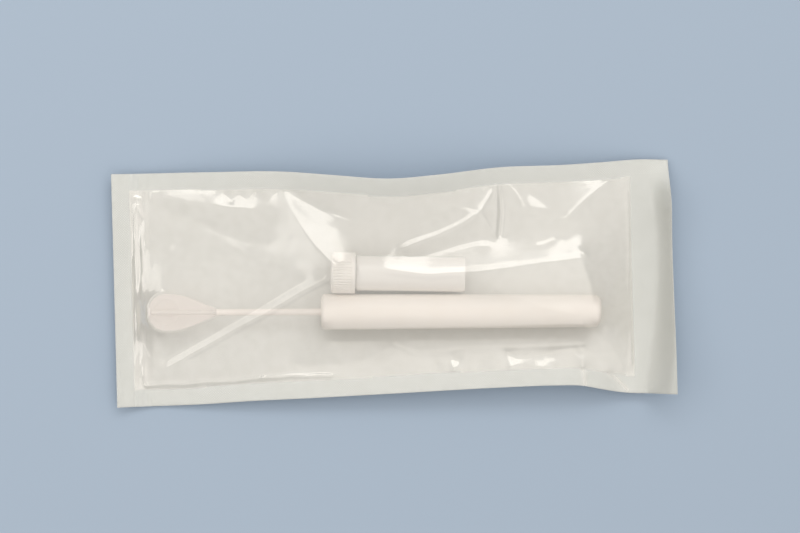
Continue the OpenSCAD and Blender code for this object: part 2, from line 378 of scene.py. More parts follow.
# The fold across the peel end, mm: (place across the pouch, place along it)
TAB_FOLD = [(-52, 108.0), (-20, 113.0), (16, 115.7), (34, 114.0), (52, 111.5)]
TAB_RISE = 10.0 * MM
TAB_ROLL = 12 * MM
TAB_CORNER = (28 * MM, 52 * MM)


def smooth_step(x, low, high):
    """0 below low, 1 above high and 3t^2 - 2t^3 between them, t being the share of the way."""
    t = np.clip((x - low) / (high - low), 0, 1)
    return t**2 * (3 - 2 * t)


def paper_height(u, s, y):
    """Top of the paper: the flat level, plus the lift of the nearer long edge times a curl, plus the rise
    of the nearer end times the way to it squared. The curl is the mean of two numbers: the way from the
    flat middle to the edge to a power, and a smooth step of that way. Beyond the fold of the peel end
    comes another smooth step. The rise of the peel end dies out towards its far corner."""
    flat = np.where(s > 0, FAR_FLAT, NEAR_FLAT)
    way = np.clip((np.abs(s) - flat) / (1 - flat), 0, 1)
    way = (way**CURL_POWER + smooth_step(way, 0, 1)) / 2
    far_lift = FAR_SLACK * smooth_curve(u / MM, FAR_LIFT)
    near_lift = NEAR_SLACK * smooth_curve(u / MM, NEAR_LIFT)
    lift = np.where(s > 0, far_lift, near_lift) * MM
    left = LEFT_RISE * np.clip((LEFT_START - u) / (LEFT_START - LEFT), 0, 1) ** 2
    right = RIGHT_RISE * np.clip((u - RIGHT_START) / (RIGHT - RIGHT_START), 0, 1) ** 2
    fold = smooth_curve(y / MM, TAB_FOLD) * MM
    tab = TAB_RISE * smooth_step(u, fold, fold + TAB_ROLL)
    return PAPER_TOP + lift * way + left + (right + tab) * (1 - smooth_step(y, *TAB_CORNER))

# %% [markdown]
# ## What the film lies on
# The film has to pass over the real contents and never through them. Their height map comes from the CAD
# meshes: points are strewn evenly over all their triangles and each grid cell keeps its highest point.
# The cap is strewn several times along its way up the thread, so the film leaves it room to be unscrewed.

# %% Points on the contents
GRAINS = 400_000
CAP_STEPS = 5
rng = np.random.default_rng(7)


def strewn(node, count):
    """Points spread evenly over a CAD node's triangles: a triangle is picked by its share of the area,
    and the point in it by two random numbers, folded back where they would leave the triangle."""
    mesh = node.data
    places = np.empty(len(mesh.vertices) * 3)
    mesh.vertices.foreach_get("co", places)
    mesh.calc_loop_triangles()
    corners = np.empty(len(mesh.loop_triangles) * 3, int)
    mesh.loop_triangles.foreach_get("vertices", corners)
    a, b, c = places.reshape(-1, 3)[corners.reshape(-1, 3)].transpose(1, 0, 2)
    area = np.linalg.norm(np.cross(b - a, c - a), axis=1)
    pick = rng.choice(len(area), count, p=area / area.sum())
    p, q = rng.random((2, count, 1))
    over = p + q > 1
    p, q = np.where(over, 1 - p, p), np.where(over, 1 - q, q)
    return a[pick] + p * (b - a)[pick] + q * (c - a)[pick]


cap_joint = next(j for j in frame["joints"] if j["name"] == "cap_rise")
cap_axis = np.array(cap_joint["axis"], float)
cap_axis /= np.linalg.norm(cap_axis)
cap_travel = max(cap_joint["range_m"], key=abs)
CONTENTS = ("handle", "handle_plug", "stem", "leaf", "specimen_tube")
share = GRAINS // (len(CONTENTS) + CAP_STEPS)
clouds = [strewn(nodes[name], share) for name in CONTENTS]
for step in range(CAP_STEPS):
    clouds.append(strewn(nodes["tube_cap"], share) + cap_axis * cap_travel * step / (CAP_STEPS - 1))
contents = np.concatenate(clouds)
print("contents reach", round(contents[:, 2].max() / MM, 1), "mm")


def contents_height(u, y):
    """The highest strewn point in each cell of the grid and in the cells next to it, or -1 where there is
    none."""
    columns, rows = u.shape
    i = (contents[:, 0] - LEFT) / (RIGHT - LEFT) * (columns - 1)
    low, high = (np.interp(contents[:, 0], u[:, 0], y[:, k]) for k in (0, -1))
    j = (contents[:, 1] - low) / (high - low) * (rows - 1)
    top = np.full((columns, rows), -1.0)
    np.maximum.at(top, (np.rint(i).astype(int), np.rint(j).astype(int)), contents[:, 2])
    wide = top.copy()
    for axis in (0, 1):
        wide = np.maximum(wide, np.maximum(np.roll(wide, 1, axis), np.roll(wide, -1, axis)))
    return wide

# %% [markdown]
# ## How the film hangs
# A clear film pulled over lumps is a set of nearly flat facets between sharp folds. Cloth simulation
# could make one too, with its folds wherever they happen to fall, and here they are wanted in particular
# places. So the main folds are given as a few lines with heights, and the seals and the contents hold the
# film too. Everywhere else it takes the smoothest shape there is: each point rests at the mean height of
# its neighbours. That is close to the shape of a soap film, and between straight folds it gives just such
# facets.

# %% The main folds, mm
FOLDS = [
    # The bright face between the far seal and the peak over the cap: its left and upper edges
    [(-45.6, 41.6, 8.9), (-43.6, 36, 11.0), (-41.2, 30, 13.3), (-38, 24, 15.6), (-33.4, 17.2, 18.1),
     (-28.5, 12.2, 20.0), (-24.5, 8.6, 21.3)],
    [(-45.6, 41.6, 8.9), (-40, 37.8, 9.9), (-34.5, 34.6, 11.2), (-29, 31.5, 12.7), (-23.6, 28.9, 14.3),
     (-17.5, 27.1, 15.0)],
    # The long ridge from the peak to the near left corner, two lines on its far slope and one on its near
    [(-24.5, 8.6, 21.3), (-28.5, 2.1, 20.3), (-40, -3.3, 17.4), (-46.7, -7.4, 15.7), (-57.5, -13, 13.2),
     (-68.5, -18.3, 10.9), (-79.5, -24.2, 8.8), (-90.5, -29.9, 6.6), (-99.5, -34.6, 4.6), (-106.5, -39, 2.6)],
    [(-29.3, 3.5, 19.8), (-40.8, -1.9, 16.9), (-58.3, -11.6, 12.6), (-69.3, -16.9, 10.3), (-80.3, -22.8, 8.2),
     (-91.3, -28.5, 6.0), (-100.2, -33.2, 4.1)],
    [(-37, 2.2, 17.2), (-41.7, -0.1, 15.9), (-59.2, -9.8, 11.7), (-70.2, -15.1, 9.5), (-81.2, -21.0, 7.5),
     (-92.2, -26.7, 5.35), (-101.1, -31.4, 3.65)],
    [(-27.6, 0.5, 19.2), (-39.1, -4.9, 16.4), (-45.8, -9.0, 14.7), (-56.6, -14.6, 12.2), (-67.6, -19.9, 10.0),
     (-78.6, -25.8, 7.9), (-89.6, -31.5, 5.6)],
    # The bright sliver along the far seal on the left, up to its tip, and two small peaks beside the seal
    [(-108, 42.8, 3.3), (-100.5, 41.7, 4.35), (-89.5, 37.6, 6.75), (-80, 36.3, 7.6), (-70, 35, 8.7),
     (-61, 34, 9.6), (-58.3, 34.2, 9.5), (-53, 38.4, 8.8), (-48, 42.2, 8.1)],
    [(-73, 42, 6.0), (-69.5, 37.5, 7.3), (-67, 41.8, 6.4)],
    [(-65.5, 41.5, 6.7), (-63, 37, 8.2), (-60, 41.8, 7.0)],
    # The soft valley from the far left corner, and the soft ridge beside it
    [(-104, 36, 4.2), (-97, 33, 4.9), (-90, 30, 5.7), (-79, 26.5, 6.8), (-70.5, 22.5, 8.4),
     (-61.5, 19.5, 10.2), (-52, 18.7, 12.4), (-44, 21.5, 14.4)],
    [(-24.5, 8.6, 21.3), (-34, 6.5, 19.0), (-42, 8.5, 16.4), (-60, 12, 12.0), (-80, 15, 9.2), (-95, 18, 7.2)],
    # Crest along the tube, and a line down from it to the foot of the thin ridge
    [(-24.5, 8.6, 21.3), (-20, 7.6, 19.0), (-15.8, 7.0, 17.5), (-5, 6.0, 17.4), (3.2, 4.8, 17.6),
     (15.9, 3.1, 17.6), (36.6, 3.9, 17.4), (53.8, 5.6, 16.4), (68, 7.2, 15.6), (81.6, 8.8, 14.8)],
    [(-2.2, 5.6, 17.5), (-2.2, 9, 16.4), (-1.2, 12.8, 15.1), (0.8, 15.9, 14.1)],
    # Far edge of the long bright face, and the thin ridge that hooks round from its left end
    [(4.4, 13.0, 14.8), (7.6, 11.6, 14.9), (11, 11.6, 14.6), (16.5, 12.7, 14.4), (22, 14, 14.0),
     (28.6, 15.9, 13.4), (36.3, 17.6, 13.0), (40.2, 18.1, 12.95), (45.2, 16.5, 13.15), (50, 15.8, 13.4),
     (60, 19.4, 12.65), (70, 23.5, 11.5), (76.8, 26.5, 11.1)],
    [(4.4, 14.3, 15.4), (7.4, 15.7, 15.6), (12.2, 17.6, 15.6), (18.8, 19.6, 15.4), (25.4, 22.2, 15.2),
     (31, 24.6, 14.9), (34.8, 27, 14.7), (37.3, 29.5, 14.3)],
    [(0.8, 15.9, 14.1), (3, 17.6, 14.1), (6, 18.7, 14.3), (11.4, 20.2, 14.5), (18, 22, 14.5),
     (24.5, 24.7, 14.3), (30, 27.2, 14.0), (33.6, 29.3, 13.8)],
    [(-4, 18.5, 14.6), (4, 22.3, 14.2), (10.5, 24, 14.2), (17, 26, 13.9), (23, 28.3, 13.7)],
    [(8, 6.6, 16.6), (16, 5.6, 16.6), (28.6, 6, 16.5), (36.3, 6.4, 16.4), (45, 7.2, 15.95), (50, 7.7, 15.7),
     (60, 8.6, 15.3), (70, 9.7, 14.7), (77, 10.8, 14.0)],
    [(16.5, 11.2, 15.0), (22, 12.4, 14.7), (28.6, 14.2, 14.25), (36.3, 16.0, 13.8), (42, 15.4, 14.1)],
    [(71, 11.5, 14.0), (73.5, 18.0, 11.9), (84, 10.3, 14.3)],
    # The fold between the thin ridge and the far seal
    [(-17.5, 27.1, 15.0), (-12, 27.2, 14.9), (-7, 27.5, 14.7), (0, 28.7, 14.4), (10, 29.3, 13.9),
     (20, 30.5, 13.6), (28, 32.6, 13.1), (33, 32.6, 13.0), (38, 29.9, 13.9)],
    # The pinched diamond at the far seal, the narrow valley beside it and the pocket beyond
    [(46.5, 42.3, 9.7), (38, 29.9, 13.9), (45, 18.2, 12.9)],
    [(46.5, 42.3, 9.7), (46.3, 30, 11.9), (45, 18.2, 12.9)],
    [(47.3, 41.9, 9.4), (47.8, 30, 10.2), (46.6, 19, 11.6)],
    [(48.8, 41.9, 9.8), (49.7, 30, 11.0), (48.5, 19.3, 12.1)],
    [(60.8, 31.2, 10.9), (60.5, 38, 9.1), (69.5, 30.8, 10.2), (60.8, 31.2, 10.9)],
    # Far right corner to the end of the bright face
    [(95.3, 42.4, 6.4), (86, 35, 8.7), (76.8, 26.5, 11.1)],
    # Over the handle, from the tube's foot to the handle's end
    [(81.6, 8.8, 14.8), (85.5, -2, 15.3), (86.5, -10, 15.7)],
    [(36.6, 3.9, 17.4), (47.0, -5.2, 17.0), (63.5, -11.3, 16.5), (78.4, -15.3, 16.3)],
    # Down the handle's near side
    [(-26.5, -19.2, 14.6), (30, -19.6, 14.8), (82, -19.8, 14.8)],
    [(-27, -24.5, 10.0), (0, -24.8, 10.7), (30, -25.2, 10.7), (60, -25.4, 10.7), (80, -25.4, 10.7)],
    # The fold along the near seal, and the bright facets beside it
    [(-43, -34, 6.2), (-40, -35.7, 5.9), (-23, -35, 6.3), (-14, -33.5, 6.8), (-8, -32, 7.4), (-4, -29, 8.4),
     (0, -27, 9.4), (6, -29.7, 8.4), (12, -31.3, 7.9), (18, -31, 8.0), (30, -29.5, 8.6), (50, -29.6, 8.7),
     (82, -29.2, 8.6)],
    [(13, -39.6, 8.3), (18, -36.6, 7.2), (22, -39.4, 8.6)],
    [(24.5, -33.0, 7.2), (25.5, -39.2, 9.6), (28.5, -34.5, 7.6), (24.5, -33.0, 7.2)],
    [(33, -38.8, 8.9), (38, -35.6, 7.6), (44, -38.6, 9.2)],
    [(49.3, -31.5, 7.2), (50.2, -38.8, 9.9), (55, -35, 8.2), (49.3, -31.5, 7.2)],
    [(55, -34, 7.8), (62, -33, 7.6), (70, -31.8, 7.4), (82, -29.2, 8.4)],
    [(63, -35, 8.0), (64, -38.9, 9.9), (69, -33.6, 7.6)],
    [(79.0, -31, 7.4), (81.8, -38.8, 10.6), (82.4, -30, 7.6)],
    # From the handle's end to the near right corner
    [(83, -29.7, 8.6), (93.5, -41, 6.8)],
    [(90.2, -19.5, 11.0), (94.7, -29.8, 7.4), (99.7, -40.0, 5.2)],
    # Along the left seal
    [(-112.3, 29, 3.2), (-109, 23, 4.2), (-106.4, 18, 5.0), (-105.4, 8, 5.8), (-105.2, -1, 7.6)],
    [(-103.5, -20, 7.6), (-105.5, -28, 5.2), (-106.5, -38, 3.2)],
]
print(len(FOLDS), "folds")

# %% The film at rest
LEVELS = 3
PASSES = 160
FILM_COLUMNS, FILM_ROWS = 409, 177
FOLD_STEP = 0.5


def doubled(z, columns, rows):
    """A coarse height map read at the points of a finer one, in straight lines between its own points."""
    i, j = np.linspace(0, z.shape[0] - 1, columns), np.linspace(0, z.shape[1] - 1, rows)
    i0, j0 = np.minimum(i.astype(int), z.shape[0] - 2), np.minimum(j.astype(int), z.shape[1] - 2)
    fi, fj = (i - i0)[:, None], (j - j0)[None]
    near = z[i0][:, j0] * (1 - fi) + z[i0 + 1][:, j0] * fi
    far = z[i0][:, j0 + 1] * (1 - fi) + z[i0 + 1][:, j0 + 1] * fi
    return near * (1 - fj) + far * fj


def fold_points(step):
    """All folds as points a step apart, in metres."""
    found = []
    for fold in FOLDS:
        corners = np.array(fold) * MM
        way = np.concatenate([[0], np.cumsum(np.hypot(*np.diff(corners[:, :2], axis=0).T))])
        stops = np.linspace(0, way[-1], max(int(way[-1] / step), 2))
        found.append(np.column_stack([np.interp(stops, way, axis) for axis in corners.T]))
    return np.concatenate(found)


def held_by_folds(y, columns, rows):
    """For each fold point: its height, the four grid points around it, and their shares in its height."""
    cell = (RIGHT - LEFT) / (columns - 1)
    points = fold_points(FOLD_STEP * cell)
    low, high = (np.interp(points[:, 0], np.linspace(LEFT, RIGHT, columns), y[:, k]) for k in (0, -1))
    i = (points[:, 0] - LEFT) / cell
    j = (points[:, 1] - low) / (high - low) * (rows - 1)
    i0, j0 = np.clip(i.astype(int), 0, columns - 2), np.clip(j.astype(int), 0, rows - 2)
    fi, fj = np.clip(i - i0, 0, 1), np.clip(j - j0, 0, 1)
    around = np.stack([i0 * rows + j0, (i0 + 1) * rows + j0, i0 * rows + j0 + 1, (i0 + 1) * rows + j0 + 1])
    shares = np.stack([(1 - fi) * (1 - fj), fi * (1 - fj), (1 - fi) * fj, fi * fj])
    return points[:, 2], around, shares


def sealed_part(u, s, half):
    """True where the film is sealed to the paper: within the seal's width of the long edges, and at both
    ends."""
    return (np.abs(s) >= 1 - SEAL_W / half) | (u <= INNER_LEFT) | (u >= INNER_RIGHT)


def bonded_part(u, s, half):
    """Where the sealing bar has pressed the two webs together: all of the sealed part but the open peel
    end."""
    return sealed_part(u, s, half) & (u <= INNER_RIGHT + SEAL_W)


def rested_film():
    """The film's height. On each grid, from coarse to fine, every free point moves to the mean of its
    four neighbours, each weighed by one over its distance squared. After each pass the fold points are
    pulled to their heights, and no point stays below the paper or the contents. The coarse grids get
    twice the passes of the finest."""
    z = None
    for level in range(LEVELS, -1, -1):
        columns, rows = (FILM_COLUMNS - 1) // 2**level + 1, (FILM_ROWS - 1) // 2**level + 1
        u, s, y, half = plan(columns, rows)
        seated = paper_height(u, s, y) + FILM_GAP
        sealed = sealed_part(u, s, half)
        lowest = np.maximum(seated, contents_height(u, y) + FILM_CLEAR)
        along = 1 / ((RIGHT - LEFT) / (columns - 1)) ** 2
        across = 1 / (2 * half[1:-1, 1:-1] / (rows - 1)) ** 2
        z = seated if z is None else doubled(z, columns, rows)
        heights, around, shares = held_by_folds(y, columns, rows)
        pull = shares**2 / (shares**2).sum(0)
        weight = np.maximum(np.bincount(around.ravel(), shares.ravel(), minlength=z.size), 1e-9)
        for _ in range(PASSES * (2 if level else 1)):
            mean = along * (z[2:, 1:-1] + z[:-2, 1:-1]) + across * (z[1:-1, 2:] + z[1:-1, :-2])
            z[1:-1, 1:-1] = mean / (2 * (along + across))
            miss = heights - (z.ravel()[around] * shares).sum(0)
            moves = np.bincount(around.ravel(), (shares * pull * miss).ravel(), minlength=z.size) / weight
            z = np.maximum(z + moves.reshape(z.shape), lowest)
            z = np.where(sealed, seated, z)
    return u, s, y, half, z, sealed, lowest

# %% [markdown]
# ## Rolls and wrinkles
# Smaller marks are laid on top of that shape: narrow rolls where a fold was pressed and let go, and the
# fine wrinkles that a hot sealing bar leaves in film beside a seal. A roll is a bell-shaped ridge along a
# line. A wrinkle field is smooth noise, fading away from the seals.

# %% Rolls, mm: (height, half width, points)
ROLLS = [
    (-0.1, 0.9, [(-17.6, 26.6), (-10, 26.6), (0, 28.2), (10, 29.3), (20, 30.5), (28, 32.6), (33, 32.6),
        (38, 29.9)]),
    (-0.3, 1.5, [(-17, 4.4), (-5, 3.4), (3.2, 2.2), (15.9, 0.6), (28, 1.2)]),
    (0.32, 0.7, [(45.9, 41.6), (38.8, 29.9), (44.9, 19.0)]),
    (0.35, 0.8, [(46.3, 41.9), (46.2, 30), (45.2, 19)]),
    (0.25, 0.7, [(48.8, 41.9), (49.7, 30), (48.4, 19.5)]),
    (0.35, 0.8, [(50.5, 41.8), (53.5, 39), (56, 35), (57.5, 30.5)]),
    (-0.1, 0.8, [(57.5, 30.5), (60, 28.3), (65, 27.2), (70, 27.0), (76, 27.4)]),
    (0.8, 1.0, [(-109, -42.2), (-101, -41.7), (-92, -42.0), (-84, -41.2), (-71, -41.2), (-64, -40.3),
        (-58, -39.9)]),
    (0.85, 1.0, [(-58, -39.9), (-50, -39.7), (-46, -39.3), (-38, -39.7), (-33, -39.4), (-28, -39.8)]),
    (-0.2, 1.0, [(-44.2, 42.2), (-39, 38.9), (-28, 32.7), (-17, 28.4)]),
    (0.30, 1.0, [(0, -27), (6, -29.7), (12, -31.3), (18, -31), (30, -29.5), (50, -29.6), (82, -29.2)]),
    (0.15, 1.1, [(95.3, 42.6), (86, 35), (76.8, 26.5)]),
    (0.15, 1.0, [(63.5, 14.6), (66.5, 15.2), (70, 16.8)]),
    (-0.16, 2.6, [(-104, 36.6), (-91.6, 32.0), (-76.8, 26.0), (-65.5, 21.8), (-55, 18.4), (-44, 18.8)]),
    (0.07, 0.8, [(-71, 18.6), (-67.5, 17.0), (-64.5, 15.4)]),
    (-0.12, 2.0, [(-42, 37), (-34, 30.0), (-26, 24.5)]),
    (-0.25, 1.5, [(0, 33.5), (5, 37), (20, 38.2), (34, 40.2)]),
    (0.25, 1.2, [(-8, 36.5), (-1, 34.8)]),
    (0.5, 0.8, [(-112.4, 40.5), (-109.8, 39.8)]),
    (0.5, 0.9, [(-111.0, 37), (-109.2, 32)]),
    (0.22, 1.0, [(-112.6, 14), (-111.8, 4), (-112.7, -6)]),
    (0.25, 1.1, [(-110.2, 6), (-110.8, -12), (-110.6, -38)]),
    (0.28, 0.9, [(103.6, 37), (104.3, 15), (103.6, -3), (104.2, -22), (103.4, -38)]),
]
print(len(ROLLS), "rolls")

# %% Distances and noise
def distance_to(u, y, points):
    """Distance from each grid point to a line of straight stretches: the least distance to any one
    stretch."""
    corners = np.array(points) * MM
    least = np.full(u.shape, np.inf)
    for (x0, y0), (x1, y1) in zip(corners[:-1], corners[1:]):
        length = (x1 - x0) ** 2 + (y1 - y0) ** 2
        t = np.clip(((u - x0) * (x1 - x0) + (y - y0) * (y1 - y0)) / length, 0, 1)
        least = np.minimum(least, np.hypot(u - x0 - t * (x1 - x0), y - y0 - t * (y1 - y0)))
    return least


LATTICE = 256


def soft_noise(u, y, size_u, size_y, seed):
    """Smooth noise from -1 to 1 with lumps of about the given sizes: random numbers on a lattice, blended
    between its points by the smooth step 3t^2 - 2t^3."""
    lattice = np.random.default_rng(seed).uniform(-1, 1, (LATTICE, LATTICE))
    i, j = (u - LEFT) / size_u, (y - BACK) / size_y
    i0, j0 = np.floor(i).astype(int), np.floor(j).astype(int)
    fi, fj = i - i0, j - j0
    fi, fj = fi**2 * (3 - 2 * fi), fj**2 * (3 - 2 * fj)

    def corner(di, dj):
        return lattice[(i0 + di) % LATTICE, (j0 + dj) % LATTICE]

    near = corner(0, 0) * (1 - fi) + corner(1, 0) * fi
    far = corner(0, 1) * (1 - fi) + corner(1, 1) * fi
    return near * (1 - fj) + far * fj


def layered_noise(u, y, layers):
    """The sum of some layers of soft noise, each times its share."""
    return sum(share * soft_noise(u, y, wide * MM, deep * MM, seed) for share, wide, deep, seed in layers)

# %% Film with its rolls and wrinkles. Noise layers: share, size along, size across (mm), seed
SMOOTH_PASSES = 1
WRINKLES = [(1.0, 4.5, 7, 3), (0.5, 2.2, 3.5, 4)]
WRINKLE_HEIGHT = 0.18 * MM
WRINKLE_START, WRINKLE_REACH = 1.2 * MM, 5 * MM
STREAKS = [(1.0, 1.6, 14, 5), (0.4, 1.2, 4, 6)]
STREAK_HEIGHT = 0.8 * MM
STREAK_START, STREAK_REACH = 0.8 * MM, 4 * MM


def smoothed(z, free):
    """Each free point becomes the mean of its three by three neighbours, weighed 1, 2 and 4."""
    mean = z.copy()
    rows = z[2:] + 2 * z[1:-1] + z[:-2]
    mean[1:-1, 1:-1] = (rows[:, 2:] + 2 * rows[:, 1:-1] + rows[:, :-2]) / 16
    return np.where(free, mean, z)


def beside(away, start, reach):
    """How strong a mark is at some distance from a seal: 1 - exp(-(away/start)^2), which grows within the
    start, times exp(-away/reach), which dies out over the reach."""
    return np.exp(-away / reach) * (1 - np.exp(-((away / start) ** 2)))


def finished_film(u, s, y, half, z, sealed, lowest):
    """The rested film, smoothed a little, with rolls and wrinkles added where it is free."""
    free = ~sealed
    for _ in range(SMOOTH_PASSES):
        z = smoothed(z, free)
    for height, width, points in ROLLS:
        z = z + free * height * MM * np.exp(-((distance_to(u, y, points) / (width * MM)) ** 2))
    to_long = np.maximum((1 - SEAL_W / half - np.abs(s)) * half, 0)
    to_left = np.maximum(u - INNER_LEFT, 0)
    near_long = beside(to_long, WRINKLE_START, WRINKLE_REACH)
    z = z + free * near_long * WRINKLE_HEIGHT * layered_noise(u, y, WRINKLES)
    near_left = beside(to_left, STREAK_START, STREAK_REACH)
    z = z + free * near_left * STREAK_HEIGHT * layered_noise(u, y, STREAKS)
    return np.where(sealed, z, np.maximum(z, lowest))


film_u, film_s, film_y, film_half, resting, film_sealed, film_lowest = rested_film()
film_z = finished_film(film_u, film_s, film_y, film_half, resting, film_sealed, film_lowest)
print("film from", round(film_z.min() / MM, 2), "to", round(film_z.max() / MM, 2), "mm high")

# %% [markdown]
# ## Where the film is dull, crinkled or loose
# The film isn't the same all over. It is dull where it was pressed on the paper, crinkled beside the left
# seal and, on the open peel end, painted with shade: a darker haze that darkens that end. Each of these is a
# number at each point, which the mesh will carry to its material.

# %% Dull, crinkled and loose parts
# Creases across the sealed border, mm
BORDER_CREASES = [[(82, -38.6), (82.6, -47)], [(93.5, -41), (101.5, -49.5)]]
CREASE_WIDTH = 1.3 * MM
CREASE_SHINE = 0.9
CRINKLES = [(1.0, 1.8, 12, 8), (0.5, 1.2, 5, 9)]
CRINKLE_REACH = 9 * MM
CRINKLE_FULL = 0.4
CRINKLE_MEAN, CRINKLE_SPREAD = 0.55, 0.6
PEEL_STEPS = [(0.35, -1 * MM, 2 * MM), (0.65, 8 * MM, 14 * MM)]
PEEL_CORNER = (36 * MM, 46 * MM)


def dull_part(u, y, sealed):
    """1 where the film is pressed dull against the paper, falling towards 0 on the creases across the
    border."""
    for crease in BORDER_CREASES:
        sealed = sealed * (1 - CREASE_SHINE * np.exp(-((distance_to(u, y, crease) / CREASE_WIDTH) ** 2)))
    return sealed


def crinkled_part(u, y):
    """How crinkled the film is beside the left seal, from 0 to 1: thin upright patches of noise that fade
    out within the reach."""
    away = u - INNER_LEFT
    near = smooth_step(-away, -CRINKLE_REACH, -CRINKLE_FULL * CRINKLE_REACH) * (away > 0)
    return near * np.clip(CRINKLE_MEAN + CRINKLE_SPREAD * layered_noise(u, y, CRINKLES), 0, 1)


def peel_part(u, y):
    """From 0 at the seal to 1 on the open peel end, where the two webs lie loose on each other: two
    smooth steps, each times its share. The far corner is left clear."""
    # This number also sets where the film's painted shade darkens the peel end.
    loose = 0
    for share, low, high in PEEL_STEPS:
        loose = loose + share * smooth_step(u, INNER_RIGHT + low, INNER_RIGHT + high)
    return loose * (1 - smooth_step(y, *PEEL_CORNER))

# %% [markdown]
# ## From numbers to meshes
# A sheet is a grid of points, so its faces follow from the grid alone. The film stays a single surface,
# because a clear skin a tenth of a millimetre thick would only mirror everything twice. The paper gets
# its second side and its edges from a Solidify modifier.

# %% Grid to mesh
def grid_faces(columns, rows, closed=False):
    """Four corners for each cell of a grid of points numbered row by row, facing up. A closed grid joins
    its last row to its first."""
    i, j = np.meshgrid(np.arange(columns - 1), np.arange(rows if closed else rows - 1), indexing="ij")
    after = (j + 1) % rows
    corners = [i * rows + j, (i + 1) * rows + j, (i + 1) * rows + after, i * rows + after]
    return np.stack(corners, -1).reshape(-1, 4)


def make_piece(name, points, faces, material):
    """A smooth-shaded mesh object at the origin, from an array of points and its faces."""
    mesh = bpy.data.meshes.new(name)
    mesh.from_pydata(points.reshape(-1, 3), [], faces)
    mesh.polygons.foreach_set("use_smooth", np.ones(len(faces), bool))
    mesh.materials.append(material)
    piece = bpy.data.objects.new(name, mesh)
    bpy.context.scene.collection.objects.link(piece)
    return piece


def carry(piece, name, numbers):
    """Gives each point of a mesh a number that its material can read."""
    attribute = piece.data.attributes.new(name, "FLOAT", "POINT")
    attribute.data.foreach_set("value", numbers.ravel().astype(np.float32))

# %% [markdown]
# ## Paper
# The web is bleached medical paper, matt and close, with a faint cloudiness where its fibres bunch. The
# sealing bar has pressed a fine grid into the border. Both are a matter of a few hundredths of a
# millimetre, so they are bump and colour, while the curl of the sheet is real geometry.

# %% Paper finish
PAPER = (0.77, 0.76, 0.72)
PAPER_CLOUD = (0.72, 0.71, 0.665)
EMBOSS_PITCH = 1.1 * MM
PAPER_LUMPS, FIBRE_LUMPS = 260.0, 2100.0
PAPER_RELIEF = 0.05 * MM


def embossed(finish, place):
    """The grid that the sealing bar leaves: the sines along x and along y multiplied, from -1 to 1."""
    x, y, _ = finish.parts(place)
    turn = 2 * math.pi / EMBOSS_PITCH
    return (x * turn).sine() * (y * turn).sine()


def paper_finish():
    """Two close whites, mixed by a smooth step of clouds and stretched fibres, and a bump of fibres and
    emboss."""
    finish = Finish("paper_web")
    place = finish.place()
    clouds = finish.grain(place, PAPER_LUMPS, 5.0)
    fibres = finish.grain(finish.stretched(place, (1, 3.2, 1)), FIBRE_LUMPS, 3.0)
    height = fibres * 0.6 + embossed(finish, place) * finish.attribute("sealed") * 0.5
    cloudy = (clouds * 0.55 + fibres * 0.45).above(0.38, 0.64)
    return finish.principled(
        Base_Color=finish.blend(cloudy, PAPER, PAPER_CLOUD),
        Roughness=0.72 + 0.1 * clouds,
        Specular_IOR_Level=0.3,
        Normal=finish.bump(height, PAPER_RELIEF, 0.5),
    )

# %% Paper web
PAPER_COLUMNS, PAPER_ROWS = 271, 119

u, s, y, half = plan(PAPER_COLUMNS, PAPER_ROWS)
paper_z = paper_height(u, s, y)
paper_faces = grid_faces(PAPER_COLUMNS, PAPER_ROWS)
paper = make_piece("paper_web", np.stack([u, y, paper_z], -1), paper_faces, paper_finish())
carry(paper, "sealed", bonded_part(u, s, half))
thickness = paper.modifiers.new("thickness", "SOLIDIFY")
thickness.thickness = PAPER_THICK
thickness.offset = -1
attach(paper, "root")
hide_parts("backing_web")
print("paper up to", round(paper_z.max() / MM, 1), "mm high")

# %% [markdown]
# ## Film
# Peel film is a clear plastic, a little hazy and glossy rather than like glass. Real refraction would
# cost much and add nothing in so thin a skin. So the shader is a glossy, half metallic one that covers
# about a third of the surface, more where one looks along the film, and the rest lets everything through.
# On the seals the pressed film is dull, and on the open peel end a darker haze with more cover is painted
# shade that darkens that end. Fine streaks in its gloss run along the film.

# %% Film finish
FILM_COVER = 0.30
FILM_METAL, SEAL_METAL = 0.55, 0.12
FILM_EDGE_COVER = 0.40
CRINKLE_COVER = 0.30
FILM_GLOSS, FILM_DULL = 0.15, 0.45
FILM_HAZE, SEAL_HAZE = (0.98, 0.945, 0.89), (0.88, 0.89, 0.855)
# The peel end's haze colour and its extra cover are painted shade: together they darken the open peel end.
EMBOSS_HAZE, PEEL_PAINTED_SHADE = (0.70, 0.71, 0.68), (0.70, 0.71, 0.67)
PEEL_SHADE_COVER = 0.08
STREAK_LUMPS, RIPPLE_LUMPS = 1300.0, 240.0
FILM_RELIEF = 0.08 * MM


